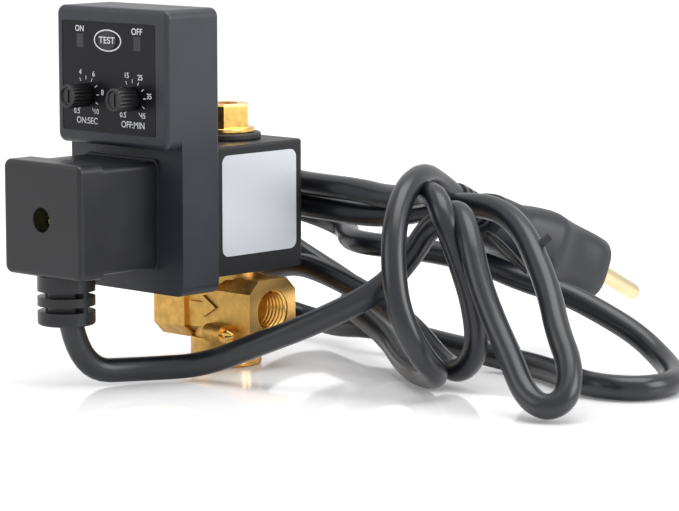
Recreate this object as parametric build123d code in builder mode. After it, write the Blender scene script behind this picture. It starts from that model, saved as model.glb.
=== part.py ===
# Automatic drain valve: a brass body with two threaded ports, a sealed solenoid,
# a plug-in timer, its square connector and a moulded mains lead wound in a hank.
# Millimetres, +Z up. The origin is on the floor under the armature's axis, +X leaves
# through the outlet port, and the timer and the connector stand in front, towards -Y.
from build123d import *
import os
from math import cos, radians, sin, tan

# ---------------------------------------------------------------- driving sizes
SLIDE = 0.05          # radial clearance of a running or sliding fit
CLEAR = 0.15          # clearance of a hole round a part that only passes through
WALL = 2.0            # moulded shell wall

BODY_HALF = 18.1      # half the length over the two port faces
PORT_Z = 16.2         # height of the port axis
PORT_SIDE = 17.4      # square of the outlet boss
INLET_SIDE = 20.0     # square of the inlet boss
PORT_MINOR = 11.44    # minor diameter of the 1/4 in pipe thread
PORT_DEPTH = 10.0
BOSS_CHAMFER = 3.4
FOOT_R, FOOT_TOP = 9.7, 8.0
ORIFICE = 3.5
SEAT_Z = 20.6
CHAMBER_R = 6.6
CHAMBER_Z = 19.0
NECK_R = 10.5

COIL_HALF = 16.0
COIL_BACK = 14.1
COIL_FRONT = -21.9
COIL_Z0, COIL_Z1 = 27.2, 61.8
TUBE_IN, TUBE_OUT = 4.0, 4.6
STUD_R, STUD_TOP = 3.5, 70.2
NUT_AF, NUT_Z0, NUT_Z1 = 12.5, 63.6, 71.4

TIMER_HALF = 21.5
TIMER_Z0, TIMER_Z1 = 24.2, 99.0
TIMER_BACK, TIMER_SPLIT = -22.9, -31.9
TIMER_FRONT, HEAD_FRONT = -36.2, -41.2
HEAD_Z0 = 62.7
FACE_X = -1.1         # centre line of the front panel
KNOB_Z = 75.6
KNOB_PITCH = 18.0
KNOB_R, KNOB_FRONT = 3.15, -48.0
BUTTON_Z = 90.3
LED_Z, LED_PITCH = 89.9, 22.1
BUTTON_TRAVEL = 0.8

CON_X, CON_Z = -1.6, 45.2
CON_SIDE = 30.0
CON_FRONT, CON_STEP, CON_BACK = -64.5, -56.5, -37.2
SCREW_R, SCREW_HEAD_R = 1.5, 2.9
BLADE_W, BLADE_T, BLADE_PITCH = 6.3, 0.8, 9.0

CORD_D = 6.5
RELIEF_Y, RELIEF_R = -56.3, 7.6
RELIEF_Z0, RELIEF_Z1 = 17.2, CON_Z - CON_SIDE / 2

PLUG_AT = (53.0, 34.2, 47.0)
PLUG_DIP = 26.1       # degrees the plug points below the level
PLUG_LEN, PLUG_W, PLUG_H = 55.0, 27.0, 20.0
PIN_D, PIN_LEN, PIN_PITCH = 4.8, 19.0, 19.0

FRONT_WALL = Plane.XZ  # looks along -Y, so extrusions towards the front are positive


def save(part, label):
    """One file for each physical piece, named after it."""
    part.label = label
    export_step(part, f"parts/{label}.step")


def slab(x0, x1, y0, y1, z0, z1, mode=Mode.ADD):
    """A block given by its two corners."""
    with Locations(((x0 + x1) / 2, (y0 + y1) / 2, (z0 + z1) / 2)):
        Box(x1 - x0, y1 - y0, z1 - z0, mode=mode)


def rod_y(x, z, r, y0, y1, mode=Mode.ADD):
    """A round bar or hole along Y."""
    with Locations(Location((x, (y0 + y1) / 2, z), (90, 0, 0))):
        Cylinder(r, abs(y1 - y0), mode=mode)


def rod_x(y, z, r, x0, x1, mode=Mode.ADD):
    """A round bar or hole along X."""
    with Locations(Location(((x0 + x1) / 2, y, z), (0, 90, 0))):
        Cylinder(r, abs(x1 - x0), mode=mode)


def rod_z(x, y, r, z0, z1, mode=Mode.ADD):
    """A round bar or hole along Z."""
    with Locations((x, y, (z0 + z1) / 2)):
        Cylinder(r, abs(z1 - z0), mode=mode)


def blade_places():
    """The two line blades stand upright, the earth blade lies across below them."""
    return [
        (CON_X - BLADE_PITCH, CON_Z, BLADE_T, BLADE_W),
        (CON_X + BLADE_PITCH, CON_Z, BLADE_T, BLADE_W),
        (CON_X, CON_Z - BLADE_PITCH, BLADE_W, BLADE_T),
    ]


def blades(y0, y1, extra=0.0, mode=Mode.ADD):
    for x, z, w, h in blade_places():
        slab(x - w / 2 - extra, x + w / 2 + extra, y0, y1, z - h / 2 - extra, z + h / 2 + extra, mode)


os.makedirs("parts", exist_ok=True)

# ---------------------------------------------------------------- brass body
inlet_half = INLET_SIDE / 2
outlet_half = PORT_SIDE / 2
LUG_X0, LUG_X1 = BODY_HALF - 13.5, BODY_HALF - 7.1
LUG_Y, LUG_Z = -outlet_half - 2.5, 10.4
with BuildPart() as valve_body:
    # the centre and the outlet boss are one square bar, its corners cut off
    with BuildSketch(Plane.YZ.offset(-6.0)):
        with Locations((0, PORT_Z)):
            Rectangle(PORT_SIDE, PORT_SIDE)
        chamfer(vertices(), BOSS_CHAMFER)
    extrude(amount=BODY_HALF + 6.0)
    # the inlet boss is cast a little larger
    with BuildSketch(Plane.YZ.offset(-6.0)):
        with Locations((0, PORT_Z)):
            Rectangle(INLET_SIDE, PORT_SIDE + 0.4)
        chamfer(vertices(), BOSS_CHAMFER)
    extrude(amount=6.0 - BODY_HALF)
    # round foot and the neck the solenoid stands on
    rod_z(0, 0, FOOT_R, 0, FOOT_TOP)
    rod_z(0, 0, NECK_R, PORT_Z + outlet_half - 0.5, COIL_Z0)
    rod_z(0, 0, CHAMBER_R + WALL, FOOT_TOP - 0.5, COIL_Z0)
    # side lug that carries the bleed screw
    rod_x(LUG_Y, LUG_Z, 2.4, LUG_X0, LUG_X1)
    slab(LUG_X0, LUG_X1, LUG_Y, -outlet_half + 0.5, LUG_Z - 2.4, LUG_Z + 2.4)
    # raised arrow that shows the direction of flow
    with BuildSketch(FRONT_WALL.offset(outlet_half)):
        with BuildLine():
            Polyline((-4.6, 15.7), (0.6, 15.7), (0.6, 13.8), (5.6, 16.8), (0.6, 19.8),
                     (0.6, 17.9), (-4.6, 17.9), close=True)
        make_face()
    extrude(amount=0.7)
    fillet(valve_body.edges().filter_by(GeomType.CIRCLE).group_by(Axis.Z)[0], 0.8)
    # threaded ports
    rod_x(0, PORT_Z, PORT_MINOR / 2, BODY_HALF - PORT_DEPTH, BODY_HALF, Mode.SUBTRACT)
    rod_x(0, PORT_Z, PORT_MINOR / 2, -BODY_HALF, -BODY_HALF + PORT_DEPTH, Mode.SUBTRACT)
    # chamber under the armature, seat ring left standing in it
    rod_z(0, 0, CHAMBER_R, CHAMBER_Z, COIL_Z0, Mode.SUBTRACT)
    rod_z(0, 0, 3.0, CHAMBER_Z - 0.1, SEAT_Z)
    rod_z(0, 0, ORIFICE / 2, PORT_Z, SEAT_Z + 0.1, Mode.SUBTRACT)
    # outlet way from the seat, inlet way up into the chamber
    rod_x(0, PORT_Z, 2.0, 0, BODY_HALF - PORT_DEPTH + 0.1, Mode.SUBTRACT)
    rod_x(0, PORT_Z, 1.6, -BODY_HALF + PORT_DEPTH - 0.1, -4.6, Mode.SUBTRACT)
    rod_z(-4.7, 0, 1.5, PORT_Z, CHAMBER_Z + 0.1, Mode.SUBTRACT)
    # tapped hole of the bleed screw
    rod_x(LUG_Y, LUG_Z, 1.6, LUG_X0 + 1.4, LUG_X1 + 0.1, Mode.SUBTRACT)
save(valve_body.part, "valve_body")

with BuildPart() as bleed_screw:
    rod_x(LUG_Y, LUG_Z, 1.6, LUG_X0 + 1.4, LUG_X1 + 1.6)
    with Locations(Location((LUG_X1 + 2.5, LUG_Y, LUG_Z), (0, 90, 0))):
        Cone(1.6, 0.5, 1.8)
save(bleed_screw.part, "bleed_screw")

# ---------------------------------------------------------------- armature
with BuildPart() as armature_tube:
    rod_z(0, 0, CHAMBER_R - SLIDE, 22.8, COIL_Z0 - 0.2)
    rod_z(0, 0, TUBE_OUT, 22.8, 61.6)
    rod_z(0, 0, STUD_R, 61.6, STUD_TOP)
    chamfer(armature_tube.edges().group_by(Axis.Z)[-1], 0.5)
    rod_z(0, 0, TUBE_IN, 22.7, 60.6, Mode.SUBTRACT)
    with BuildSketch(Plane.XY.offset(24.2)):
        Circle(CHAMBER_R)
        Circle(5.4, mode=Mode.SUBTRACT)
    extrude(amount=1.4, mode=Mode.SUBTRACT)
save(armature_tube.part, "armature_tube")

with BuildPart() as body_seal:
    with Locations((0, 0, 24.9)):
        Torus(6.0, 0.6)
save(body_seal.part, "body_seal")

with BuildPart() as fixed_core:
    rod_z(0, 0, TUBE_IN, 48.0, 60.6)
    with BuildSketch(Plane.XY.offset(48.0)):
        Circle(3.3)
        Circle(2.6, mode=Mode.SUBTRACT)
    extrude(amount=1.0, mode=Mode.SUBTRACT)
save(fixed_core.part, "fixed_core")

with BuildPart() as shading_ring:
    with BuildSketch(Plane.XY.offset(48.2)):
        Circle(3.3)
        Circle(2.6, mode=Mode.SUBTRACT)
    extrude(amount=0.8)
save(shading_ring.part, "shading_ring")

LIFT = 1.8            # travel of the plunger off its seat
POCKET_Z = 38.0
with BuildPart() as plunger:
    rod_z(0, 0, TUBE_IN - SLIDE, 22.0, 48.0 - LIFT)
    rod_z(0, 0, 3.0, SEAT_Z + 0.8, 22.0)
    rod_z(0, 0, 2.3, POCKET_Z, 48.0, Mode.SUBTRACT)
    rod_z(0, 0, 2.4, SEAT_Z, 22.2, Mode.SUBTRACT)
save(plunger.part, "plunger")

with BuildPart() as plunger_seal:
    rod_z(0, 0, 2.4, SEAT_Z, 22.2)
save(plunger_seal.part, "plunger_seal")

SPRING_R, SPRING_WIRE, SPRING_TURNS = 1.7, 0.3, 6
with BuildPart() as plunger_spring:
    low, high = POCKET_Z + SPRING_WIRE + 0.02, 48.0 - SPRING_WIRE - 0.02
    with BuildLine():
        coil_line = Helix((high - low) / SPRING_TURNS, high - low, SPRING_R, center=(0, 0, low))
    with BuildSketch(Plane(coil_line @ 0, z_dir=coil_line % 0)):
        RegularPolygon(SPRING_WIRE, 6)
    sweep(is_frenet=True)
save(plunger_spring.part, "plunger_spring")

# ---------------------------------------------------------------- solenoid coil
with BuildPart() as coil_housing:
    slab(-COIL_HALF, COIL_HALF, COIL_FRONT, COIL_BACK, COIL_Z0, COIL_Z1)
    fillet(coil_housing.edges().filter_by(Axis.Z), 1.6)
    fillet(coil_housing.faces().sort_by(Axis.Z)[-1].edges(), 0.8)
    rod_z(0, 0, 12.6, COIL_Z0, 58.8, Mode.SUBTRACT)
    rod_z(0, 0, TUBE_OUT + SLIDE, COIL_Z0, COIL_Z1, Mode.SUBTRACT)
    rod_y(CON_X, CON_Z, SCREW_R, COIL_FRONT, -15.0, Mode.SUBTRACT)
    blades(COIL_FRONT, -19.0, mode=Mode.SUBTRACT)
save(coil_housing.part, "coil_housing")

with BuildPart() as yoke_plate:
    rod_z(0, 0, 12.6, COIL_Z0, 29.2)
    rod_z(0, 0, TUBE_OUT + SLIDE, COIL_Z0, 29.2, Mode.SUBTRACT)
save(yoke_plate.part, "yoke_plate")

with BuildPart() as coil_bobbin:
    rod_z(0, 0, 12.4, 29.2, 58.8)
    with BuildSketch(Plane.XY.offset(30.4)):
        Circle(13)
        Circle(5.5, mode=Mode.SUBTRACT)
    extrude(amount=27.0, mode=Mode.SUBTRACT)
    rod_z(0, 0, TUBE_OUT + SLIDE, 29.2, 58.8, Mode.SUBTRACT)
save(coil_bobbin.part, "coil_bobbin")

with BuildPart() as copper_winding:
    rod_z(0, 0, 11.9, 30.4, 57.4)
    rod_z(0, 0, 5.5, 30.4, 57.4, Mode.SUBTRACT)
save(copper_winding.part, "copper_winding")

with BuildPart() as coil_terminals:
    blades(-29.6, -19.0)
save(coil_terminals.part, "coil_terminals")

with BuildPart() as rubber_washer:
    rod_z(0, 0, 9.8, COIL_Z1, NUT_Z0)
    fillet(rubber_washer.edges(), 0.5)
    rod_z(0, 0, STUD_R + CLEAR, COIL_Z1, NUT_Z0, Mode.SUBTRACT)
save(rubber_washer.part, "rubber_washer")

with BuildPart() as hex_nut:
    rod_z(0, 0, 8.1, NUT_Z0, NUT_Z0 + 1.4)
    fillet(hex_nut.edges(), 0.4)
    with BuildSketch(Plane.XY.offset(NUT_Z0 + 1.4)):
        RegularPolygon(NUT_AF / 2, 6, major_radius=False, rotation=-46)
    extrude(amount=NUT_Z1 - NUT_Z0 - 1.4)
    chamfer(hex_nut.faces().sort_by(Axis.Z)[-1].edges(), 0.5)
    rod_z(0, 0, STUD_R, NUT_Z0, NUT_Z1, Mode.SUBTRACT)
save(hex_nut.part, "hex_nut")

with BuildPart() as coil_label:
    with BuildSketch(Plane.YZ.offset(COIL_HALF)):
        with Locations((-2.8, 45.8)):
            RectangleRounded(27.8, 27.0, 2.2)
    extrude(amount=0.15)
save(coil_label.part, "coil_label")

with BuildPart() as coil_gasket:
    slab(CON_X - 14.0, CON_X + 14.0, TIMER_BACK, COIL_FRONT, CON_Z - 14.0, CON_Z + 14.0)
    fillet(coil_gasket.edges().filter_by(Axis.Y), 2.0)
    rod_y(CON_X, CON_Z, SCREW_R + CLEAR, TIMER_BACK, COIL_FRONT, Mode.SUBTRACT)
    blades(TIMER_BACK, COIL_FRONT, 0.2, Mode.SUBTRACT)
save(coil_gasket.part, "coil_gasket")

# ---------------------------------------------------------------- timer shells
post_x = TIMER_HALF - WALL - 5.0
POSTS = [(x, z) for x in (-post_x, post_x) for z in (HEAD_Z0 + WALL + 4.8, TIMER_Z1 - WALL - 4.0)]
BOARD_FRONT, BOARD_BACK = -34.4, -32.8
SHELL_R = 2.4

with BuildPart() as timer_rear_shell:
    slab(-TIMER_HALF, TIMER_HALF, TIMER_SPLIT, TIMER_BACK, TIMER_Z0, TIMER_Z1)
    fillet(timer_rear_shell.edges().filter_by(Axis.Y), SHELL_R)
    fillet(timer_rear_shell.faces().sort_by(Axis.Y)[-1].edges(), 0.8)
    inner = TIMER_HALF - WALL
    slab(-inner, inner, TIMER_SPLIT, TIMER_BACK - WALL, TIMER_Z0 + WALL, TIMER_Z1 - WALL, Mode.SUBTRACT)
    for x, z in POSTS:
        rod_y(x, z, 2.2, BOARD_BACK, TIMER_BACK - WALL)
    rod_y(CON_X, CON_Z, SCREW_R + CLEAR, TIMER_BACK - WALL, TIMER_BACK, Mode.SUBTRACT)
    blades(TIMER_BACK - WALL, TIMER_BACK, 0.2, Mode.SUBTRACT)
save(timer_rear_shell.part, "timer_rear_shell")

knob_xs = (FACE_X + 0.2 - KNOB_PITCH / 2, FACE_X + 0.2 + KNOB_PITCH / 2)
led_xs = (FACE_X - LED_PITCH / 2, FACE_X + LED_PITCH / 2)
SHAFT_R = 2.0
OVERLAY = 0.3         # the printed panel lies in a recess this deep
BUTTON_W, BUTTON_H = 7.2, 5.0
panel_w, panel_h = 2 * TIMER_HALF - 7.3, TIMER_Z1 - HEAD_Z0 - 7.6
panel_z = (HEAD_Z0 + TIMER_Z1) / 2 - 0.25
LED_W, LED_H = 2.6, 3.6

with BuildPart() as timer_front_shell:
    with BuildSketch(FRONT_WALL.offset(-TIMER_SPLIT)):
        with Locations((0, (TIMER_Z0 + TIMER_Z1) / 2)):
            RectangleRounded(2 * TIMER_HALF, TIMER_Z1 - TIMER_Z0, SHELL_R)
    extrude(amount=TIMER_SPLIT - TIMER_FRONT)
    with BuildSketch(FRONT_WALL.offset(-TIMER_FRONT)):
        with Locations((0, (HEAD_Z0 + TIMER_Z1) / 2)):
            RectangleRounded(2 * TIMER_HALF, TIMER_Z1 - HEAD_Z0, SHELL_R)
    extrude(amount=TIMER_FRONT - HEAD_FRONT)
    fillet(timer_front_shell.faces().sort_by(Axis.Y)[0].edges(), 1.4)
    slab(-inner, inner, TIMER_FRONT + WALL, TIMER_SPLIT, TIMER_Z0 + WALL, TIMER_Z1 - WALL, Mode.SUBTRACT)
    slab(-inner, inner, HEAD_FRONT + WALL, TIMER_SPLIT, HEAD_Z0 + WALL, TIMER_Z1 - WALL, Mode.SUBTRACT)
    # recess and windows of the panel
    with BuildSketch(FRONT_WALL.offset(-HEAD_FRONT)):
        with Locations((FACE_X, panel_z)):
            RectangleRounded(panel_w + 0.4, panel_h + 0.4, 0.8)
    extrude(amount=-OVERLAY, mode=Mode.SUBTRACT)
    for x in knob_xs:
        rod_y(x, KNOB_Z, SHAFT_R + CLEAR, HEAD_FRONT, HEAD_FRONT + WALL, Mode.SUBTRACT)
    for x in led_xs:
        slab(x - LED_W / 2, x + LED_W / 2, HEAD_FRONT, HEAD_FRONT + WALL,
             LED_Z - LED_H / 2, LED_Z + LED_H / 2, Mode.SUBTRACT)
    with BuildSketch(FRONT_WALL.offset(-HEAD_FRONT)):
        with Locations((FACE_X - 0.2, BUTTON_Z)):
            Ellipse(BUTTON_W / 2 + SLIDE, BUTTON_H / 2 + SLIDE)
    extrude(amount=-WALL, mode=Mode.SUBTRACT)
    # lower wall: screw hole and the blades of the connector
    rod_y(CON_X, CON_Z, SCREW_R + CLEAR, TIMER_FRONT, TIMER_FRONT + WALL, Mode.SUBTRACT)
    blades(TIMER_FRONT, TIMER_FRONT + WALL, 0.0, Mode.SUBTRACT)
save(timer_front_shell.part, "timer_front_shell")

with BuildPart() as panel_overlay:
    with BuildSketch(FRONT_WALL.offset(-HEAD_FRONT - OVERLAY)):
        with Locations((FACE_X, panel_z)):
            RectangleRounded(panel_w, panel_h, 0.6)
        with Locations(*[(x, KNOB_Z) for x in knob_xs]):
            Circle(SHAFT_R + CLEAR, mode=Mode.SUBTRACT)
        with Locations((FACE_X - 0.2, BUTTON_Z)):
            Ellipse(BUTTON_W / 2 + CLEAR, BUTTON_H / 2 + CLEAR, mode=Mode.SUBTRACT)
        with Locations(*[(x, LED_Z) for x in led_xs]):
            Rectangle(LED_W, LED_H, mode=Mode.SUBTRACT)
    extrude(amount=OVERLAY - 0.05)
save(panel_overlay.part, "panel_overlay")

# ---------------------------------------------------------------- timer inside
with BuildPart() as circuit_board:
    slab(-inner + 1.5, inner - 1.5, BOARD_FRONT, BOARD_BACK, HEAD_Z0 + WALL + 1.3, TIMER_Z1 - WALL - 1.0)
save(circuit_board.part, "circuit_board")

with BuildPart() as relay:
    slab(-8.0, 8.0, BOARD_BACK, TIMER_BACK - WALL - 1.1, 74.0, 89.0)
    fillet(relay.faces().sort_by(Axis.Y)[-1].edges(), 0.5)
save(relay.part, "relay")

POT_FRONT = HEAD_FRONT + WALL + 0.6
SHAFT_END = POT_FRONT + 3.0
for name, x in (("on_time_potentiometer", knob_xs[0]), ("off_time_potentiometer", knob_xs[1])):
    with BuildPart() as pot:
        slab(x - 5.0, x + 5.0, POT_FRONT, BOARD_FRONT, KNOB_Z - 5.0, KNOB_Z + 5.0)
        rod_y(x, KNOB_Z, SHAFT_R + SLIDE, POT_FRONT, SHAFT_END, Mode.SUBTRACT)
    save(pot.part, name)

KNURLS = 16
for name, x in (("on_time_knob", knob_xs[0]), ("off_time_knob", knob_xs[1])):
    with BuildPart() as knob:
        with BuildSketch(Plane((x, HEAD_FRONT - 0.3, KNOB_Z), z_dir=(0, -1, 0))):
            Circle(KNOB_R)
            with PolarLocations(KNOB_R, KNURLS):
                Circle(0.22, mode=Mode.SUBTRACT)
        extrude(amount=HEAD_FRONT - 0.3 - KNOB_FRONT)
        rod_y(x, KNOB_Z, 1.9, KNOB_FRONT, KNOB_FRONT + 0.6, Mode.SUBTRACT)
        slab(x - 0.35, x + 0.35, KNOB_FRONT + 0.6, KNOB_FRONT + 1.3, KNOB_Z - 1.6, KNOB_Z + 1.6,
             Mode.SUBTRACT)
        rod_y(x, KNOB_Z, SHAFT_R, HEAD_FRONT - 0.3, SHAFT_END - 0.1)
    save(knob.part, name)

BUTTON_BACK = POT_FRONT + 0.2
with BuildPart() as test_button:
    with BuildSketch(FRONT_WALL.offset(-BUTTON_BACK)):
        with Locations((FACE_X - 0.2, BUTTON_Z)):
            Ellipse(BUTTON_W / 2, BUTTON_H / 2)
    extrude(amount=BUTTON_BACK - HEAD_FRONT + 0.2)
    fillet(test_button.faces().sort_by(Axis.Y)[0].edges(), 0.15)
save(test_button.part, "test_button")

with BuildPart() as test_switch:
    key_front = BUTTON_BACK + BUTTON_TRAVEL + 0.1
    slab(FACE_X - 3.2, FACE_X + 2.8, key_front + 1.1, BOARD_FRONT, BUTTON_Z - 3.0, BUTTON_Z + 3.0)
    rod_y(FACE_X - 0.2, BUTTON_Z, 1.5, key_front, key_front + 1.1)
save(test_switch.part, "test_switch")

for name, x in (("on_lamp", led_xs[0]), ("off_lamp", led_xs[1])):
    with BuildPart() as lamp:
        slab(x - LED_W / 2, x + LED_W / 2, HEAD_FRONT + 0.05, BOARD_FRONT,
             LED_Z - LED_H / 2, LED_Z + LED_H / 2)
    save(lamp.part, name)

with BuildPart() as timer_sockets:
    for x, z, w, h in blade_places():
        slab(x - w / 2 - 0.8, x + w / 2 + 0.8, -30.4, TIMER_BACK - WALL,
             z - h / 2 - 0.8, z + h / 2 + 0.8)
    blades(-29.7, TIMER_BACK - WALL, SLIDE, Mode.SUBTRACT)
save(timer_sockets.part, "timer_sockets")

with BuildPart() as timer_blades:
    blades(-47.0, TIMER_FRONT + WALL)
    for x, z, w, h in blade_places():
        slab(x - w / 2 - 0.6, x + w / 2 + 0.6, TIMER_FRONT + WALL, -33.2,
             z - h / 2 - 0.6, z + h / 2 + 0.6)
save(timer_blades.part, "timer_blades")

# ---------------------------------------------------------------- connector
step_half = CON_SIDE / 2 - 0.9
cav = 12.4
with BuildPart() as connector_housing:
    side = CON_SIDE / 2
    slab(CON_X - side, CON_X + side, CON_FRONT, CON_STEP, CON_Z - side, CON_Z + side)
    fillet(connector_housing.edges().filter_by(Axis.Y), 2.2)
    fillet(connector_housing.faces().sort_by(Axis.Y)[0].edges(), 1.2)
    slab(CON_X - step_half, CON_X + step_half, CON_STEP, CON_BACK, CON_Z - step_half, CON_Z + step_half)
    fillet(connector_housing.edges().filter_by(Axis.Y).group_by(Axis.Y)[-1], 1.8)
    slab(CON_X - cav, CON_X + cav, CON_FRONT + WALL, CON_BACK, CON_Z - cav, CON_Z + cav, Mode.SUBTRACT)
    rod_y(CON_X, CON_Z, 4.6, CON_FRONT + WALL, -53.0)
    rod_y(CON_X, CON_Z, SCREW_HEAD_R + 0.35, CON_FRONT, -57.5, Mode.SUBTRACT)
    rod_y(CON_X, CON_Z, SCREW_R + CLEAR, -57.5, -53.0, Mode.SUBTRACT)
    rod_z(CON_X, RELIEF_Y, CORD_D / 2 + SLIDE, RELIEF_Z1, RELIEF_Z1 + WALL + 1.0, Mode.SUBTRACT)
save(connector_housing.part, "connector_housing")

with BuildPart() as terminal_block:
    slab(CON_X - cav, CON_X + cav, -52.0, CON_BACK, CON_Z - cav, CON_Z + cav)
    chamfer(terminal_block.edges().filter_by(Axis.Y), 1.0)
    rod_y(CON_X, CON_Z, SCREW_R + CLEAR, -52.0, CON_BACK, Mode.SUBTRACT)
    blades(-48.0, CON_BACK, SLIDE, Mode.SUBTRACT)
save(terminal_block.part, "terminal_block")

with BuildPart() as connector_gasket:
    slab(CON_X - 14.6, CON_X + 14.6, CON_BACK, TIMER_FRONT, CON_Z - 14.6, CON_Z + 14.6)
    fillet(connector_gasket.edges().filter_by(Axis.Y), 1.8)
    rod_y(CON_X, CON_Z, SCREW_R + CLEAR, CON_BACK, TIMER_FRONT, Mode.SUBTRACT)
    blades(CON_BACK, TIMER_FRONT, 0.2, Mode.SUBTRACT)
save(connector_gasket.part, "connector_gasket")

with BuildPart() as fixing_screw:
    rod_y(CON_X, CON_Z, SCREW_HEAD_R, -60.1, -57.5)
    fillet(fixing_screw.edges().group_by(Axis.Y)[0], 0.5)
    slab(CON_X - 3.0, CON_X + 3.0, -60.2, -59.2, CON_Z - 0.4, CON_Z + 0.4, Mode.SUBTRACT)
    slab(CON_X - 0.4, CON_X + 0.4, -60.2, -59.2, CON_Z - 1.9, CON_Z + 1.9, Mode.SUBTRACT)
    rod_y(CON_X, CON_Z, SCREW_R, -57.5, -15.0)
save(fixing_screw.part, "fixing_screw")

GROOVE_H = 1.5
with BuildPart() as strain_relief:
    rod_z(CON_X, RELIEF_Y, RELIEF_R, RELIEF_Z0, RELIEF_Z1)
    fillet(strain_relief.edges().group_by(Axis.Z)[0], 0.7)
    for z in (RELIEF_Z0 + 3.6, RELIEF_Z0 + 7.4):
        # each groove is broken by a bridge on either side
        for side_y in (-1, 1):
            mid = RELIEF_Y + side_y * (RELIEF_R + 0.7)
            slab(CON_X - RELIEF_R, CON_X + RELIEF_R, mid - RELIEF_R, mid + RELIEF_R,
                 z, z + GROOVE_H, Mode.SUBTRACT)
    rod_z(CON_X, RELIEF_Y, CORD_D / 2 + 1.6, RELIEF_Z0 + 1.0, RELIEF_Z1)
    rod_z(CON_X, RELIEF_Y, CORD_D / 2 + SLIDE, RELIEF_Z0, RELIEF_Z1, Mode.SUBTRACT)
save(strain_relief.part, "strain_relief")

# ---------------------------------------------------------------- mains lead
cord_r = CORD_D / 2
lead_route = [
    (CON_X, RELIEF_Y, RELIEF_Z1 + WALL),
    (CON_X, RELIEF_Y, cord_r + 1.2),
    (6.0, -33.0, cord_r + 0.1),
    (16.0, -23.6, cord_r + 1.0),
    (33.0, -20.2, 11.4),
    (47.0, -14.2, 17.6),
    (60.0, -3.4, 26.0),
    (66.0, 8.5, 39.0),
]


def bend_radii(route):
    """Each bend uses nearly half of the shorter run beside it."""
    radii = []
    for a, b, c in zip(route, route[1:], route[2:]):
        into, out = Vector(*b) - Vector(*a), Vector(*c) - Vector(*b)
        half_turn = radians(into.get_angle(out)) / 2
        radii.append(0.45 * min(into.length, out.length) / tan(half_turn))
    return radii


lead_radii = bend_radii(lead_route)
print("lead bends, mm:", [round(r, 1) for r in lead_radii])
with BuildPart() as cord_lead:
    with BuildLine():
        lead_line = FilletPolyline(*lead_route, radius=lead_radii)
    with BuildSketch(Plane(lead_line @ 0, z_dir=lead_line % 0)):
        Circle(cord_r)
    sweep()
print("lead length", round(lead_line.length, 1), "volume ratio",
      round(cord_lead.part.volume / (3.14159 * cord_r**2 * lead_line.length), 3))
save(cord_lead.part, "cord_lead")

# outer shape of the wound turns beside the valve
with BuildPart() as cord_hank:
    with BuildSketch(Plane.XZ.offset(-36.0)):
        with BuildLine():
            Polyline((44.0, 0), (44.0, 51.0), (54.0, 58.8), (70.0, 58.8), (90.0, 49.0), (112.0, 27.0),
                     (128.0, 8.0), (128.0, 0), close=True)
        make_face()
    extrude(amount=54.0)
    with BuildSketch(Plane.XY):
        with BuildLine():
            Polyline((44.0, 15.0), (57.0, -6.0), (72.0, -16.0), (118.0, -12.0), (127.0, -8.0), (127.0, 8.0),
                     (104.0, 36.0), (44.0, 36.0), close=True)
        make_face()
    extrude(amount=60.0, mode=Mode.INTERSECT)
    with BuildSketch(Plane.XY):
        with BuildLine():
            Polyline((44.0, 35.0), (98.0, 27.0), (116.0, 24.0), (124.0, 30.0), (124.0, 44.0), (112.0, 58.0),
                     (96.0, 66.0), (70.0, 61.0), (44.0, 53.0), close=True)
        make_face()
    extrude(amount=17.0)
save(cord_hank.part, "cord_hank")

# outer shape of the turns that pass behind the coil
with BuildPart() as cord_hank_rear:
    with BuildSketch(Plane.XY):
        with BuildLine():
            Polyline((-26.0, 19.0), (-8.0, 17.0), (44.0, 15.5), (44.0, 50.0), (2.0, 58.0), (-18.0, 58.0),
                     (-33.0, 45.0), (-33.0, 32.0), close=True)
        make_face()
    extrude(amount=53.0)
    chamfer(cord_hank_rear.faces().sort_by(Axis.Z)[-1].edges(), 3.0)
save(cord_hank_rear.part, "cord_hank_rear")

# ---------------------------------------------------------------- mains plug
dip = radians(PLUG_DIP)
plug_plane = Plane(PLUG_AT, x_dir=(1, 0, 0), z_dir=(0, cos(dip), -sin(dip)))

RELIEF_LEN = 13.0
with BuildPart() as plug_strain_relief:
    with BuildSketch(plug_plane):
        Circle(4.3)
    extrude(amount=RELIEF_LEN)
    for k in range(4):
        with BuildSketch(plug_plane.offset(1.6 + 2.8 * k)):
            Circle(5)
            Circle(3.7, mode=Mode.SUBTRACT)
        extrude(amount=1.1, mode=Mode.SUBTRACT)
save(plug_strain_relief.part, "plug_strain_relief")

with BuildPart() as plug_body:
    span = PLUG_LEN - RELIEF_LEN
    for share, w, h in ((0.0, 0.56 * PLUG_W, 0.65 * PLUG_H), (0.26, 0.63 * PLUG_W, 0.73 * PLUG_H),
                        (0.48, 0.93 * PLUG_W, 0.95 * PLUG_H), (1.0, PLUG_W, PLUG_H)):
        with BuildSketch(plug_plane.offset(RELIEF_LEN + share * span)):
            RectangleRounded(w, h, 5.5)
    loft(ruled=True)
    # a hollow grip on each side
    for side_x in (-1, 1):
        with Locations(plug_plane.offset(RELIEF_LEN + 0.667 * span).location
                       * Location((side_x * (PLUG_W / 2 + 0.25 * span), 0, 0), (90, 0, 0))):
            Cylinder(0.31 * span, 2 * PLUG_H, mode=Mode.SUBTRACT)
    fillet(plug_body.faces().sort_by(Axis.Y)[-1].edges(), 1.0)
    with BuildSketch(plug_plane.offset(PLUG_LEN - 6.0)):
        with Locations((-PIN_PITCH / 2, 0), (PIN_PITCH / 2, 0)):
            Circle(PIN_D / 2)
    extrude(amount=8.0, mode=Mode.SUBTRACT)
    with BuildSketch(plug_plane.offset(PLUG_LEN - 8.0)):
        with Locations((0, PLUG_H / 2 - 0.8), (0, -PLUG_H / 2 + 0.8)):
            Rectangle(4.2, 1.0)
    extrude(amount=10.0, mode=Mode.SUBTRACT)
save(plug_body.part, "plug_body")

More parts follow.
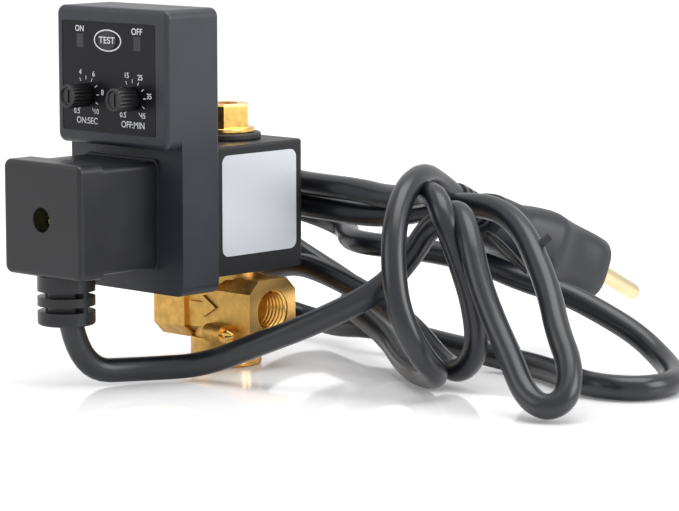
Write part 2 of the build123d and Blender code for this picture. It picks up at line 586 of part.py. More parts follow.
with BuildPart() as plug_pins:
    with BuildSketch(plug_plane.offset(PLUG_LEN - 6.0)):
        with Locations((-PIN_PITCH / 2, 0), (PIN_PITCH / 2, 0)):
            Circle(PIN_D / 2)
    extrude(amount=PIN_LEN + 6.0)
    tips = plug_pins.edges().filter_by(GeomType.CIRCLE).group_by(Axis.Y)[-1]
    fillet(tips, 1.6)
save(plug_pins.part, "plug_pins")

with BuildPart() as plug_earth_clips:
    with BuildSketch(plug_plane.offset(PLUG_LEN - 8.0)):
        with Locations((0, PLUG_H / 2 - 0.8), (0, -PLUG_H / 2 + 0.8)):
            Rectangle(4.2, 1.0)
    extrude(amount=9.4)
save(plug_earth_clips.part, "plug_earth_clips")
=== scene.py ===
# %% [markdown]
# # An automatic drain valve with a plug-in timer
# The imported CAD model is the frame. Each CAD piece keeps its shape and gets a procedural
# material, and the pieces that need finer modelling are rebuilt here as meshes in the same place.
# All lengths below are millimetres, turned to metres by `MM`.

# %% Load the frame
from math import cos, pi, radians, sin
import bmesh
import bpy
from mathutils import Matrix, Vector


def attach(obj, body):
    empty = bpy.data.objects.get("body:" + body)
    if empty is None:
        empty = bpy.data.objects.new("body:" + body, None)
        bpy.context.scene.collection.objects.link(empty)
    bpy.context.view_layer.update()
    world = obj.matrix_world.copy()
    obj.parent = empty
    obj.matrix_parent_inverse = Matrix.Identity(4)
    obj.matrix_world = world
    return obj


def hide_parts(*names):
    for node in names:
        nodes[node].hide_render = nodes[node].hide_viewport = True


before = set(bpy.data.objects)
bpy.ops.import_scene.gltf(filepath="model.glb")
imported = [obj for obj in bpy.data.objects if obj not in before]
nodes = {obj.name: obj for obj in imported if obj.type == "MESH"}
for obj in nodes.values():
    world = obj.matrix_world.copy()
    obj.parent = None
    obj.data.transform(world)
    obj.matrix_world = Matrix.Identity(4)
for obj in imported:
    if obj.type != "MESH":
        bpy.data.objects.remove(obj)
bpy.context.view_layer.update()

MM = 0.001

# %% [markdown]
# ## Camera
# A long lens far from the valve keeps its upright edges nearly parallel, as in a product picture.
# The camera could be aimed with a constraint, but three axis vectors fix its turn exactly:
# `AHEAD` is where it looks, `RIGHT` is the picture's right, and their cross product is up.

# %% Camera
CAMERA_AT = Vector((612.4, -594.4, 147.5))
LENS = 167.4
AHEAD = Vector((-0.68523, 0.71533, -0.13694)).normalized()
RIGHT = Vector((0.72227, 0.69161, -0.00145)).normalized()

scene = bpy.context.scene
cam_data = bpy.data.cameras.new("camera")
cam_data.lens = LENS
cam_data.sensor_width = 36
cam_data.clip_end = 20
camera = bpy.data.objects.new("camera", cam_data)
scene.collection.objects.link(camera)
above = RIGHT.cross(AHEAD)
turn = Matrix((RIGHT, above, -AHEAD)).transposed().to_4x4()
camera.matrix_world = Matrix.Translation(CAMERA_AT * MM) @ turn
scene.camera = camera
print("camera at", [round(v, 3) for v in camera.location])

# %% [markdown]
# ## Material helpers
# Moulded plastic, rubber and metal all differ from a flat colour in the same three ways, so one
# helper makes them all. A slow noise lets the colour wander between two tones and moves the
# roughness with it, and a fine noise gives relief. Both read object coordinates, so the pattern
# keeps its real size and stays on the piece when a joint moves it.

# %% Material helpers
def link(tree, a, b):
    tree.links.new(a, b)


def surface(name, tone, rough=0.5, metal=0.0, spread=0.25, scale=90.0, grain=0.0, grain_scale=2500.0,
            rough_spread=0.08, specular=0.5, coat=0.0):
    """A principled material with a slow change of tone and a fine grain."""
    mat = bpy.data.materials.new(name)
    mat.use_nodes = True
    tree = mat.node_tree
    shader = tree.nodes["Principled BSDF"]
    shader.inputs["Metallic"].default_value = metal
    shader.inputs["Specular IOR Level"].default_value = specular
    shader.inputs["Coat Weight"].default_value = coat
    coords = tree.nodes.new("ShaderNodeTexCoord")
    slow = tree.nodes.new("ShaderNodeTexNoise")
    slow.inputs["Scale"].default_value = scale
    slow.inputs["Detail"].default_value = 4
    link(tree, coords.outputs["Object"], slow.inputs["Vector"])
    ramp = tree.nodes.new("ShaderNodeValToRGB")
    low = [c * (1 - spread) for c in tone]
    high = [min(1.0, c * (1 + spread)) for c in tone]
    ramp.color_ramp.elements[0].position = 0.3
    ramp.color_ramp.elements[1].position = 0.7
    ramp.color_ramp.elements[0].color = (*low, 1)
    ramp.color_ramp.elements[1].color = (*high, 1)
    link(tree, slow.outputs["Fac"], ramp.inputs["Fac"])
    link(tree, ramp.outputs["Color"], shader.inputs["Base Color"])
    fine = tree.nodes.new("ShaderNodeTexNoise")
    fine.inputs["Scale"].default_value = grain_scale
    fine.inputs["Detail"].default_value = 3
    link(tree, coords.outputs["Object"], fine.inputs["Vector"])
    span = tree.nodes.new("ShaderNodeMapRange")
    span.inputs["To Min"].default_value = max(0.02, rough - rough_spread)
    span.inputs["To Max"].default_value = min(1.0, rough + rough_spread)
    link(tree, slow.outputs["Fac"], span.inputs["Value"])
    link(tree, span.outputs["Result"], shader.inputs["Roughness"])
    if grain:
        bump = tree.nodes.new("ShaderNodeBump")
        bump.inputs["Strength"].default_value = grain
        bump.inputs["Distance"].default_value = 0.0001
        link(tree, fine.outputs["Fac"], bump.inputs["Height"])
        link(tree, bump.outputs["Normal"], shader.inputs["Normal"])
    return mat


# %% [markdown]
# ## Finishes
# Each finish is named for what it covers. Nearly all of them are one call of the helper.
# The cast brass is one material with two looks: sand-cast skin, and bright metal on the two
# faces that a lathe has cut. Two materials on chosen faces would also do it, but the cut faces
# are the ones that look along X, so the surface's own direction picks them out.

# %% Finishes
charcoal = surface("charcoal moulding", (0.019, 0.021, 0.028), rough=0.40, spread=0.10, grain=0.22,
                   specular=0.42)
dark_mould = surface("connector moulding", (0.009, 0.0095, 0.011), rough=0.36, spread=0.12, grain=0.2,
                     specular=0.38)
coil_skin = surface("coil moulding", (0.010, 0.0105, 0.013), rough=0.46, spread=0.14, grain=0.5,
                    grain_scale=1800, specular=0.35)
film = surface("panel film", (0.006, 0.006, 0.008), rough=0.34, spread=0.10, scale=60, specular=0.2)
knob_skin = surface("knob moulding", (0.005, 0.005, 0.006), rough=0.4, spread=0.15, grain=0.2)
lens_skin = surface("smoked lens", (0.012, 0.012, 0.014), rough=0.32, spread=0.15)
rubber = surface("rubber", (0.012, 0.012, 0.013), rough=0.55, spread=0.15, grain=0.3)
cord_skin = surface("cord jacket", (0.008, 0.009, 0.012), rough=0.30, spread=0.12, scale=40, grain=0.10,
                    grain_scale=1500, rough_spread=0.04, specular=0.5)
plug_skin = surface("plug moulding", (0.011, 0.012, 0.016), rough=0.42, spread=0.12, grain=0.25,
                    specular=0.45)
bright = surface("bright brass", (0.80, 0.50, 0.14), rough=0.25, metal=1.0, spread=0.16, scale=500)
gold = surface("pin brass", (0.70, 0.58, 0.34), rough=0.20, metal=1.0, spread=0.06, scale=150)
silver = surface("silver label", (0.62, 0.64, 0.68), rough=0.36, metal=0.35, spread=0.03, scale=25)
zinc = surface("yellow zinc", (0.90, 0.86, 0.22), rough=0.30, metal=0.45, spread=0.12, scale=400)
steel = surface("drawn steel", (0.60, 0.60, 0.62), rough=0.30, metal=1.0, spread=0.06, scale=200)
copper = surface("enamelled copper", (0.75, 0.33, 0.16), rough=0.35, metal=1.0, spread=0.10, grain=0.6)
laminate = surface("circuit laminate", (0.02, 0.14, 0.05), rough=0.35, spread=0.2, scale=300)
relay_skin = surface("relay case", (0.05, 0.06, 0.10), rough=0.4, spread=0.1)
ivory = surface("bobbin nylon", (0.75, 0.74, 0.68), rough=0.45, spread=0.05)
ink = surface("white ink", (0.66, 0.67, 0.69), rough=0.5, spread=0.06, scale=300)
stamp = surface("grey strip", (0.45, 0.45, 0.45), rough=0.35, metal=1.0, spread=0.1)


CUT_FACE_X = 0.93  # how nearly a face must look along X to count as cut


def cast_brass():
    mat = surface("cast brass", (0.60, 0.36, 0.095), rough=0.44, metal=1.0, spread=0.24, scale=420,
                  grain=1.0, grain_scale=1300, rough_spread=0.14)
    tree = mat.node_tree
    cast = tree.nodes["Principled BSDF"]
    out = tree.nodes["Material Output"]
    cut = tree.nodes.new("ShaderNodeBsdfPrincipled")
    cut.inputs["Base Color"].default_value = (0.95, 0.58, 0.19, 1)
    cut.inputs["Metallic"].default_value = 1.0
    cut.inputs["Roughness"].default_value = 0.24
    facing = tree.nodes.new("ShaderNodeNewGeometry")
    split = tree.nodes.new("ShaderNodeSeparateXYZ")
    size = tree.nodes.new("ShaderNodeMath")
    size.operation = "ABSOLUTE"
    step = tree.nodes.new("ShaderNodeMath")
    step.operation = "GREATER_THAN"
    step.inputs[1].default_value = CUT_FACE_X
    mix = tree.nodes.new("ShaderNodeMixShader")
    link(tree, facing.outputs["True Normal"], split.inputs["Vector"])
    link(tree, split.outputs["X"], size.inputs[0])
    link(tree, size.outputs["Value"], step.inputs[0])
    link(tree, step.outputs["Value"], mix.inputs["Fac"])
    link(tree, cast.outputs["BSDF"], mix.inputs[1])
    link(tree, cut.outputs["BSDF"], mix.inputs[2])
    link(tree, mix.outputs["Shader"], out.inputs["Surface"])
    return mat


brass = cast_brass()
print("finishes:", len(bpy.data.materials))

# %% [markdown]
# ## Dress the CAD pieces
# Most pieces are right as they come from CAD, so they keep their mesh and get a material. The
# table says which finish goes on which piece, and one loop puts them on. The bright nut also
# gets a bevel modifier with hardened normals, which rounds some of its edges.

# %% Dress the CAD pieces
DRESS = {
    charcoal: ["timer_rear_shell", "timer_front_shell"],
    dark_mould: ["connector_housing", "strain_relief"],
    coil_skin: ["coil_housing", "terminal_block"],
    film: ["panel_overlay"],
    knob_skin: ["test_button", "on_time_knob", "off_time_knob", "test_switch"],
    lens_skin: ["on_lamp", "off_lamp"],
    rubber: ["rubber_washer", "coil_gasket", "connector_gasket", "body_seal", "plunger_seal"],
    brass: ["valve_body"],
    bright: ["hex_nut", "bleed_screw"],
    gold: ["plug_pins", "timer_blades", "timer_sockets", "coil_terminals"],
    silver: ["coil_label"],
    zinc: ["fixing_screw"],
    steel: ["armature_tube", "fixed_core", "plunger", "plunger_spring", "yoke_plate"],
    copper: ["shading_ring", "copper_winding"],
    laminate: ["circuit_board"],
    relay_skin: ["relay", "on_time_potentiometer", "off_time_potentiometer"],
    ivory: ["coil_bobbin"],
    stamp: ["plug_earth_clips"],
    cord_skin: ["cord_lead", "cord_hank", "cord_hank_rear", "plug_strain_relief"],
    plug_skin: ["plug_body"],
}


def dress(obj, mat):
    obj.data.materials.clear()
    obj.data.materials.append(mat)


def soften(obj, width, segments=2, angle=35):
    """A live bevel on the edges sharper than angle, shaded smooth."""
    bevel = obj.modifiers.new("soft edges", "BEVEL")
    bevel.width = width * MM
    bevel.segments = segments
    bevel.limit_method = "ANGLE"
    bevel.angle_limit = radians(angle)
    bevel.harden_normals = True


for mat, names in DRESS.items():
    for name in names:
        dress(nodes[name], mat)
        for poly in nodes[name].data.polygons:
            poly.use_smooth = True
        nodes[name].data.set_sharp_from_angle(angle=radians(30))
soften(nodes["hex_nut"], 0.15)
print("dressed", sum(len(n) for n in DRESS.values()), "CAD pieces")

# %% [markdown]
# ## Mesh helpers
# Round parts are turned, as on a lathe: a half outline is spun about a line. Moulded parts that
# are neither round nor square are lofted through rings, each an oval between an ellipse and a
# rectangle. `finish_mesh` merges doubled points and turns the faces outwards.

# %% Mesh helpers
def finish_mesh(bm, name, mat, smooth=40):
    """Closes the bmesh into an object at the origin."""
    bmesh.ops.remove_doubles(bm, verts=bm.verts, dist=1e-7)
    bmesh.ops.recalc_face_normals(bm, faces=bm.faces)
    mesh = bpy.data.meshes.new(name)
    bm.to_mesh(mesh)
    bm.free()
    for poly in mesh.polygons:
        poly.use_smooth = True
    mesh.set_sharp_from_angle(angle=radians(smooth))
    obj = bpy.data.objects.new(name, mesh)
    scene.collection.objects.link(obj)
    mesh.materials.append(mat)
    print(name, len(mesh.polygons), "faces")
    return obj


def turned(profile, at, axis, steps=48):
    """Spins a profile of (along, radius) pairs about an axis through a point."""
    axis = Vector(axis).normalized()
    side = axis.orthogonal().normalized()
    at = Vector(at)
    bm = bmesh.new()
    verts = [bm.verts.new((at + axis * a + side * r) * MM) for a, r in profile]
    edges = [bm.edges.new(pair) for pair in zip(verts, verts[1:])]
    bmesh.ops.spin(bm, geom=verts + edges, cent=at * MM, axis=axis, angle=2 * pi, steps=steps,
                   use_merge=True)
    return bm


def oval_ring(bm, centre, across, up, w, h, power=2.6, count=40):
    """A superellipse ring of vertices."""
    ring = []
    for k in range(count):
        t = 2 * pi * k / count
        c, s = cos(t), sin(t)
        x = (abs(c) ** (2 / power)) * (1 if c > 0 else -1) * w / 2
        y = (abs(s) ** (2 / power)) * (1 if s > 0 else -1) * h / 2
        ring.append(bm.verts.new((centre + across * x + up * y) * MM))
    return ring


def loft(bm, rings, cap=True):
    for a, b in zip(rings, rings[1:]):
        for k in range(len(a)):
            bm.faces.new((a[k - 1], a[k], b[k], b[k - 1]))
    if cap:
        bm.faces.new(rings[0])
        bm.faces.new(rings[-1])


# %% [markdown]
# ## Mains lead
# A lead is one curve with a round bevel, so that its thickness is the same everywhere. It starts
# inside the connector's strain relief, comes down to the floor, passes the valve, climbs into the
# hank, goes through its loose turns and ends in the plug. The seven points of `lead_points` were
# placed one by one. Those of `hank_points` were settled by a small relaxation run outside this
# script, which pushed the turns apart, and one fold was then opened by hand.

# %% Mains lead
CORD_D = 6.5
lead_points = [
    (-1.6, -56.3, 32.2), (-1.6, -56.3, 4.45), (6.0, -33.0, 3.35), (16.0, -23.6, 4.25),
    (33.0, -20.2, 11.4), (47.0, -14.2, 17.6), (60.0, -3.4, 26.0),
]
hank_points = [
    (62.2, 5.8, 33.6), (64.5, 12.3, 43.0), (73.7, 12.8, 47.8), (82.8, 6.6, 41.7), (89.1, 2.9, 31.7),
    (96.5, 0.2, 22.4), (104.8, -2.8, 14.1), (112.8, -6.4, 5.9), (120.2, -6.8, 3.3), (123.4, -2.6, 6.2),
    (120.2, 2.2, 13.0), (112.7, 5.9, 20.9), (105.7, 11.3, 28.5), (97.6, 15.8, 36.2), (88.7, 20.4, 42.8),
    (78.0, 23.9, 46.8), (66.1, 24.5, 47.2), (54.2, 23.7, 45.1), (42.4, 23.6, 42.3), (30.4, 23.7, 41.3),
    (18.2, 22.8, 41.8), (6.1, 22.4, 42.2), (-5.7, 24.0, 42.9), (-15.6, 30.0, 41.9), (-18.4, 40.6, 38.8),
    (-11.6, 49.1, 35.3), (-0.7, 49.2, 32.3), (7.2, 41.0, 31.0), (17.3, 38.0, 30.7), (28.2, 42.8, 30.1),
    (39.4, 46.3, 29.1), (50.9, 49.4, 27.1), (62.2, 52.1, 23.4), (72.8, 56.6, 20.7), (83.0, 60.3, 15.9),
    (93.8, 62.1, 10.9), (104.3, 59.5, 5.9), (113.8, 52.8, 3.5), (120.4, 42.9, 3.3), (119.2, 31.6, 3.3),
    (108.8, 27.3, 3.3), (97.5, 30.9, 3.3), (86.8, 36.3, 3.3), (75.5, 40.2, 3.3), (63.5, 41.8, 3.6),
    (51.5, 41.9, 4.5), (39.5, 41.5, 5.4), (27.7, 40.7, 6.8), (15.7, 38.7, 7.4), (4.3, 40.9, 6.0),
    (-6.7, 44.7, 5.5), (-17.2, 41.0, 8.0), (-20.4, 31.2, 12.6), (-14.3, 23.2, 18.4), (-3.9, 20.5, 23.7),
    (7.7, 20.5, 26.4), (19.5, 20.0, 24.5), (31.1, 19.8, 21.3), (42.5, 19.8, 17.5), (53.3, 19.0, 12.3),
    (63.4, 16.3, 6.5), (74.3, 12.7, 4.2), (82.5, 10.5, 11.6), (82.2, 9.1, 23.4), (78.4, 7.9, 34.8),
    (75.0, 5.5, 46.0), (67.3, 10.1, 51.8), (56.2, 15.2, 49.1), (44.2, 18.0, 47.6), (32.0, 19.5, 48.5),
    (19.9, 20.3, 48.5), (7.8, 21.3, 48.6), (-4.2, 23.3, 49.7), (-15.9, 25.9, 48.4), (-25.3, 31.0, 43.1),
    (-29.0, 39.0, 35.3), (-26.3, 47.4, 27.5), (-18.1, 53.1, 21.1), (-7.2, 54.2, 16.6), (3.2, 49.4, 14.5),
    (9.5, 39.5, 14.7), (17.6, 31.5, 13.6), (28.8, 29.0, 10.0), (39.3, 24.7, 6.8), (48.9, 17.9, 4.7),
    (58.8, 11.3, 3.6), (69.5, 5.9, 3.7), (78.8, -0.7, 6.2), (80.0, -9.6, 13.0), (75.9, -12.7, 23.6),
    (71.9, -10.5, 34.9), (67.8, -5.5, 45.3), (63.8, 3.0, 52.8), (59.6, 14.2, 55.5), (55.3, 24.8, 52.1),
    (53.0, 35.1, 46.6), (53.0, 38.7, 44.8),
]
print("hank points", len(hank_points))

# %% The lead's curve
route = [Vector(p) * MM for p in lead_points + hank_points]
curve = bpy.data.curves.new("mains_lead", "CURVE")
curve.dimensions = "3D"
curve.bevel_depth = CORD_D / 2 * MM
curve.bevel_resolution = 6
curve.use_fill_caps = True
spline = curve.splines.new("NURBS")
spline.points.add(len(route) - 1)
for point, place in zip(spline.points, route):
    point.co = (*place, 1)
spline.order_u = 3
spline.use_endpoint_u = True
spline.resolution_u = 12
curve.materials.append(cord_skin)
lead = bpy.data.objects.new("mains_lead", curve)
scene.collection.objects.link(lead)
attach(lead, "valve")
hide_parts("cord_lead", "cord_hank", "cord_hank_rear")
print("lead points", len(route))

# %% [markdown]
# ## Plug
# The plug is moulded in one piece on the lead and dips towards the floor. Its body is lofted
# through rounded rings along that dipping axis: each row of `PLUG_RINGS` gives the distance
# along it, the width, the height and how square the ring is. The rows narrow in the middle, for
# finger and thumb. Behind the body stands a ribbed sleeve, and in front are two round pins.

# %% Plug body
PLUG_LEN, PIN_SIDE = 55.0, 9.5
PLUG_RINGS = (
    (12.6, 9.0, 8.0, 2.2), (13.0, 12.5, 10.5, 2.6), (13.6, 14.4, 12.6, 2.8), (18.5, 15.8, 13.6, 2.8),
    (23.5, 17.0, 14.3, 2.8), (24.5, 17.6, 14.8, 2.9), (28.5, 20.6, 17.2, 3.0), (32.5, 24.6, 19.0, 3.1),
    (34.5, 25.4, 19.4, 3.2), (37.0, 24.4, 19.5, 3.2), (40.0, 23.2, 19.6, 3.2), (43.0, 23.2, 19.7, 3.2),
    (46.0, 24.4, 19.8, 3.2), (49.0, 26.0, 19.9, 3.2), (51.0, 26.8, 20.0, 3.2), (54.2, 26.9, 20.0, 3.2),
    (54.8, 26.4, 19.4, 3.2), (PLUG_LEN, 25.2, 18.2, 3.1),
)
plug_at = Vector((53.0, 34.2, 47.0))
dip = radians(26.1)
plug_axis = Vector((0, cos(dip), -sin(dip)))
plug_up = Vector((0, sin(dip), cos(dip)))
plug_x = Vector((1, 0, 0))
bm = bmesh.new()
rings = [oval_ring(bm, plug_at + plug_axis * along, plug_x, plug_up, wide, high, power)
         for along, wide, high, power in PLUG_RINGS]
loft(bm, rings)
plug = finish_mesh(bm, "plug_shell", plug_skin, smooth=50)
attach(plug, "valve")
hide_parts("plug_body")

# %% Plug sleeve
RIBS, RIB_PITCH = 4, 2.8
profile = [(0, 3.3), (0, 4.1)]
for k in range(RIBS):
    a = 1.5 + RIB_PITCH * k
    profile += [(a - 0.2, 4.3), (a, 4.2), (a + 0.15, 3.6), (a + 1.1, 3.6), (a + 1.25, 4.2), (a + 1.45, 4.3)]
profile += [(13.0, 4.3), (13.0, 3.3)]
sleeve = finish_mesh(turned(profile, plug_at, plug_axis), "plug_sleeve", cord_skin)
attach(sleeve, "valve")
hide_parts("plug_strain_relief")

# %% Plug pins
PIN_R, PIN_OUT = 2.4, 19.0
pin_bm = bmesh.new()
for side in (-PIN_SIDE, PIN_SIDE):
    root = plug_at + plug_axis * PLUG_LEN + plug_x * side
    one = turned([(-5.8, 0), (-5.8, PIN_R), (17.0, PIN_R), (18.1, PIN_R - 0.35), (18.7, PIN_R - 0.9),
                  (PIN_OUT, PIN_R - 1.6), (PIN_OUT, 0)], root, plug_axis, steps=32)
    part = bpy.data.meshes.new("pin part")
    one.to_mesh(part)
    one.free()
    pin_bm.from_mesh(part)
pins = finish_mesh(pin_bm, "plug_pin_pair", gold)
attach(pins, "valve")
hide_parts("plug_pins")

# %% [markdown]

# %% [markdown]
# ## Threads
# The ports are tapped for a pipe. In CAD they are plain bores, so the thread is a ridge added
# here: a small section is spun round the port's axis with a step along it, which makes a helix.
# It stays in the skin of the bore, as nothing screws into it here.

# %% Threads
PITCH = 1.34
PORT_MOUTH, PORT_Z = 17.9, 16.2


def thread(name, mouth, inward, turns=6, r=5.70, deep=0.62):
    """A helical ridge of triangular section inside a bore."""
    steps = 40
    bm = bmesh.new()
    way = Vector((inward, 0, 0))
    at = Vector((mouth, 0, PORT_Z))
    up = Vector((0, 0, 1))
    section = [(0.0, r), (0.5, r - deep), (0.84, r - deep), (PITCH, r)]
    verts = [bm.verts.new((at + way * a + up * rr) * MM) for a, rr in section]
    edges = [bm.edges.new(pair) for pair in zip(verts, verts[1:])]
    bmesh.ops.spin(bm, geom=verts + edges, cent=at * MM, axis=way, dvec=way * PITCH * MM / steps,
                   angle=2 * pi * turns, steps=steps * turns)
    obj = finish_mesh(bm, name, bright, smooth=60)
    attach(obj, "valve")
    return obj


thread("outlet_thread", PORT_MOUTH, -1)
thread("inlet_thread", -PORT_MOUTH, 1)

# %% [markdown]
# ## Knobs
# The two dials are small knurled knobs on thin shafts. The knurl could be cut tooth by tooth, but
# a ring whose radius dips at every tooth does the same with one loft: from the back, along the
# toothed side, over the rim and into the sunk front. A thin rib across the front points.

# %% Knobs
PANEL_X, DIAL_Z = -1.1, 75.6
DIAL_X = (PANEL_X + 0.2 - 9.0, PANEL_X + 0.2 + 9.0)


def knob(name, x, body, node):
    z, face, front = DIAL_Z, -41.5, -48.0
    bm = bmesh.new()
    teeth, per_tooth = 20, 4

    def ring(y, r, dip):
        verts = []
        for k in range(teeth * per_tooth):
            t = 2 * pi * k / (teeth * per_tooth)
            rr = r if k % per_tooth in (0, 1) else r - dip
            verts.append(bm.verts.new(Vector((x + rr * cos(t), y, z + rr * sin(t))) * MM))
        return verts

    rings = [ring(face, 2.7, 0), ring(face, 3.1, 0.22), ring(face - 0.15, 3.15, 0.26),
             ring(front + 0.2, 3.15, 0.26), ring(front, 2.95, 0.15), ring(front, 2.45, 0),
             ring(front + 0.12, 2.3, 0), ring(front + 0.45, 2.2, 0), ring(front + 0.45, 0.6, 0)]
    loft(bm, rings)
    shaft = turned([(0, 0), (0, 2.0), (5.3, 2.0), (5.3, 0)], (x, face, z), (0, 1, 0), steps=24)
    part = bpy.data.meshes.new("shaft part")
    shaft.to_mesh(part)
    shaft.free()
    bm.from_mesh(part)
    # the pointer: a low rib across the sunk front
    rib = bmesh.ops.create_cube(bm, size=1.0)["verts"]
    bmesh.ops.scale(bm, verts=rib, vec=Vector((0.5, 0.5, 3.4)) * MM)
    bmesh.ops.translate(bm, verts=rib, vec=Vector((x, front + 0.4, z)) * MM)
    obj = finish_mesh(bm, name, knob_skin, smooth=35)
    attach(obj, body)
    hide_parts(node)
    return obj


knob("on_dial_knob", DIAL_X[0], "on_knob_body", "on_time_knob")
knob("off_dial_knob", DIAL_X[1], "off_knob_body", "off_time_knob")

# %% [markdown]
# ## Printing on the panel
# The panel is a printed film. An image would print it at once, but thin letters stay sharp from
# any distance, so each word is a text turned into a mesh and laid on the film. The word on the
# button rides with the button.

# %% Printing on the panel
PRINT_Y, BUTTON_PRINT_Y = -41.19, -41.43
TEST_X, TEST_Z = -1.3, 90.3


def printed(name, words, x, z, size, body="valve", y=PRINT_Y, wide=1.0):
    """Text turned into a mesh, standing in the panel's plane."""
    text = bpy.data.curves.new(name, "FONT")
    text.body = words
    text.size = size
    text.align_x = "CENTER"
    text.align_y = "CENTER"
    text.extrude = 0.015
    text.offset = 0.02
    holder = bpy.data.objects.new(name, text)
    scene.collection.objects.link(holder)
    bpy.context.view_layer.update()
    mesh = bpy.data.meshes.new_from_object(holder.evaluated_get(bpy.context.evaluated_depsgraph_get()))
    bpy.data.objects.remove(holder)
    mesh.transform(Matrix.Scale(wide, 4, (1, 0, 0)))
    mesh.transform(Matrix.Rotation(radians(90), 4, "X"))
    mesh.transform(Matrix.Translation((x, y, z)))
    mesh.transform(Matrix.Scale(MM, 4))
    obj = bpy.data.objects.new(name, mesh)
    scene.collection.objects.link(obj)
    mesh.materials.clear()
    mesh.materials.append(ink)
    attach(obj, body)
    return obj


printed("word_on", "ON", -12.2, 93.0, 2.2)
printed("word_off", "OFF", 10.0, 93.0, 2.4)
printed("word_test", "TEST", TEST_X, TEST_Z, 2.5, body="button_body", y=BUTTON_PRINT_Y, wide=1.15)
printed("word_on_seconds", "ON:SEC", -9.6, 68.8, 2.4)
printed("word_off_minutes", "OFF:MIN", 8.2, 68.7, 2.4)

# %% Dial ticks and figures
DIALS = (("0.5", "4", "6", "8", "10"), ("0.5", "15", "25", "35", "45"))
FIGURE_DEGREES = (235, 110, 62, 5, -52)
TICKS, FIRST_TICK, TICK_STEP, TICK_R = 11, 235, 29, 4.6
ticks = bmesh.new()
for x, figures in zip(DIAL_X, DIALS):
    for k in range(TICKS):
        t = radians(FIRST_TICK - TICK_STEP * k)
        verts = bmesh.ops.create_cube(ticks, size=1.0)["verts"]
        bmesh.ops.scale(ticks, verts=verts, vec=Vector((1.0, 0.03, 0.22)))
        bmesh.ops.rotate(ticks, verts=verts, matrix=Matrix.Rotation(-t, 3, "Y"), cent=(0, 0, 0))
        place = Vector((x + TICK_R * cos(t), PRINT_Y, DIAL_Z + TICK_R * sin(t)))
        bmesh.ops.translate(ticks, verts=verts, vec=place)
        bmesh.ops.scale(ticks, verts=verts, vec=Vector((MM, MM, MM)))
    for word, degrees in zip(figures, FIGURE_DEGREES):
        t = radians(degrees)
        printed("figure_" + word, word, x + 6.4 * cos(t), DIAL_Z + 0.4 + 5.9 * sin(t), 2.0)
marks = finish_mesh(ticks, "dial_ticks", ink)
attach(marks, "valve")

# %% The oval round the test button
ring_bm = bmesh.new()
middle, across, up = Vector((TEST_X, PRINT_Y, TEST_Z)), Vector((1, 0, 0)), Vector((0, 0, 1))
inner = oval_ring(ring_bm, middle, across, up, 9.8, 5.1, 2.0, 48)
outer = oval_ring(ring_bm, middle, across, up, 10.6, 5.8, 2.0, 48)
loft(ring_bm, [inner, outer], cap=False)
bmesh.ops.solidify(ring_bm, geom=ring_bm.faces[:], thickness=0.03 * MM)
oval = finish_mesh(ring_bm, "test_oval", ink)
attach(oval, "valve")

# %% [markdown]
# ## Cord tie
# The hank is held by a tie of thin wires, whose cut end sticks out in front of the plug. Each
# strand is a thin curve through a few points, turned into a mesh.

# %% Cord tie
def wire(name, points, r, mat):
    """A thin round strand through a few points, turned into a mesh."""
    data = bpy.data.curves.new(name, "CURVE")
    data.dimensions = "3D"
    data.bevel_depth = r * MM
    data.bevel_resolution = 3
    data.use_fill_caps = True
    line = data.splines.new("NURBS")
    line.points.add(len(points) - 1)
    for point, place in zip(line.points, points):
        point.co = (*(Vector(place) * MM), 1)
    line.order_u = 3
    line.use_endpoint_u = True
    holder = bpy.data.objects.new(name, data)
    scene.collection.objects.link(holder)
    bpy.context.view_layer.update()
    mesh = bpy.data.meshes.new_from_object(holder.evaluated_get(bpy.context.evaluated_depsgraph_get()))
    bpy.data.objects.remove(holder)
    for poly in mesh.polygons:
        poly.use_smooth = True
    obj = bpy.data.objects.new(name, mesh)
    scene.collection.objects.link(obj)
    mesh.materials.clear()
    mesh.materials.append(mat)
    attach(obj, "valve")
    print(name, len(mesh.polygons), "faces")
    return obj


STRAND_R, CUT_END_R = 0.38, 1.15
TIE_A, TIE_B = Vector((71.0, 26.4, 39.4)), Vector((76.4, 33.0, 31.5))
for k in range(5):
    away = Vector((0.35 * sin(2.1 * k), 0.5 * cos(1.7 * k), 0.9 * sin(1.3 * k)))
    middle = (TIE_A + TIE_B) / 2 + away * 2.2 + Vector((0, -1.2, 0.6))
    strand = [TIE_A + away * 0.5, TIE_A + away + Vector((1.5, -0.6, -0.4)), middle,
              TIE_B + away * 1.3, TIE_B + away * 0.6 + Vector((2.0, 1.0, -2.2))]
    wire("tie_strand_%d" % k, strand, STRAND_R, rubber)
wire("tie_end", [(94.6, 16.0, 37.6), (96.0, 17.2, 38.9), (98.6, 19.8, 41.9)], CUT_END_R, rubber)


# %% [markdown]
# ## Stage
# The part stands on a glossy white floor that runs out of view. The world is white where the
# camera or a shiny surface sees it, and a little dimmer as light on the part, so that dark
# plastic stays dark. Three soft lamps shape the edges: above, at the right, and front left.

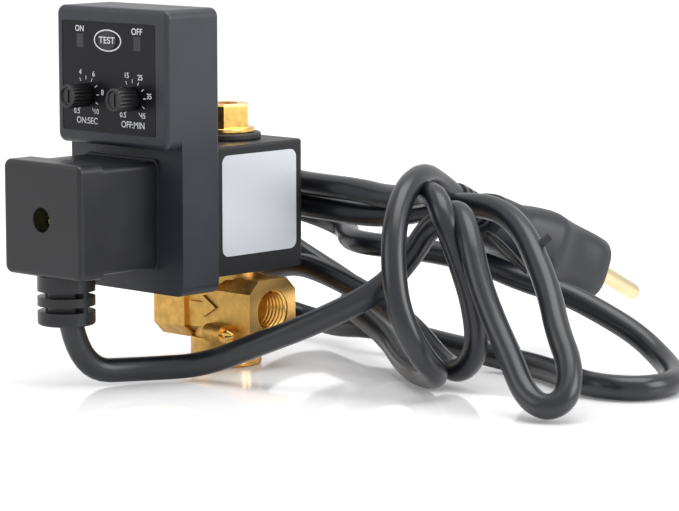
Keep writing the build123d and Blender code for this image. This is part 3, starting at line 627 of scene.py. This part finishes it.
# %% Stage
floor_bm = bmesh.new()
bmesh.ops.create_grid(floor_bm, x_segments=1, y_segments=1, size=4.0)
floor_mat = bpy.data.materials.new("white floor")
floor_mat.use_nodes = True
ftree = floor_mat.node_tree
fshader = ftree.nodes["Principled BSDF"]
fshader.inputs["Base Color"].default_value = (0.90, 0.90, 0.91, 1)
fshader.inputs["Emission Color"].default_value = (1, 1, 1, 1)
fshader.inputs["Emission Strength"].default_value = 0.12
fshader.inputs["Roughness"].default_value = 0.06
floor = finish_mesh(floor_bm, "floor", floor_mat)

world = bpy.data.worlds.new("white")
scene.world = world
world.use_nodes = True
wtree = world.node_tree
back = wtree.nodes["Background"]
back.inputs["Color"].default_value = (1, 1, 1, 1)
path = wtree.nodes.new("ShaderNodeLightPath")
level = wtree.nodes.new("ShaderNodeMapRange")
level.inputs["To Min"].default_value = 0.80
level.inputs["To Max"].default_value = 1.0
camera_or_glossy = wtree.nodes.new("ShaderNodeMath")
camera_or_glossy.operation = "MAXIMUM"
or_clear = wtree.nodes.new("ShaderNodeMath")
or_clear.operation = "MAXIMUM"
link(wtree, path.outputs["Is Camera Ray"], camera_or_glossy.inputs[0])
link(wtree, path.outputs["Is Glossy Ray"], camera_or_glossy.inputs[1])
link(wtree, camera_or_glossy.outputs["Value"], or_clear.inputs[0])
link(wtree, path.outputs["Is Transmission Ray"], or_clear.inputs[1])
link(wtree, or_clear.outputs["Value"], level.inputs["Value"])
link(wtree, level.outputs["Result"], back.inputs["Strength"])
print("floor and world")


# %% Lamps
def lamp(name, place, aim, size, power):
    """A square lamp at a place in metres, turned towards its aim."""
    data = bpy.data.lights.new(name, "AREA")
    data.size = size
    data.energy = power
    obj = bpy.data.objects.new(name, data)
    scene.collection.objects.link(obj)
    obj.location = place
    obj.rotation_euler = (Vector(aim) - Vector(place)).to_track_quat("-Z", "Y").to_euler()


lamp("over", (0.15, 0.1, 0.9), (0.03, 0, 0.03), 0.7, 6.0)
lamp("right side", (0.9, 0.35, 0.45), (0.03, 0, 0.05), 0.6, 6.0)
lamp("front left", (-0.5, -0.8, 0.5), (0, 0, 0.05), 0.5, 1.5)
scene.view_settings.view_transform = "Standard"
print("stage set")
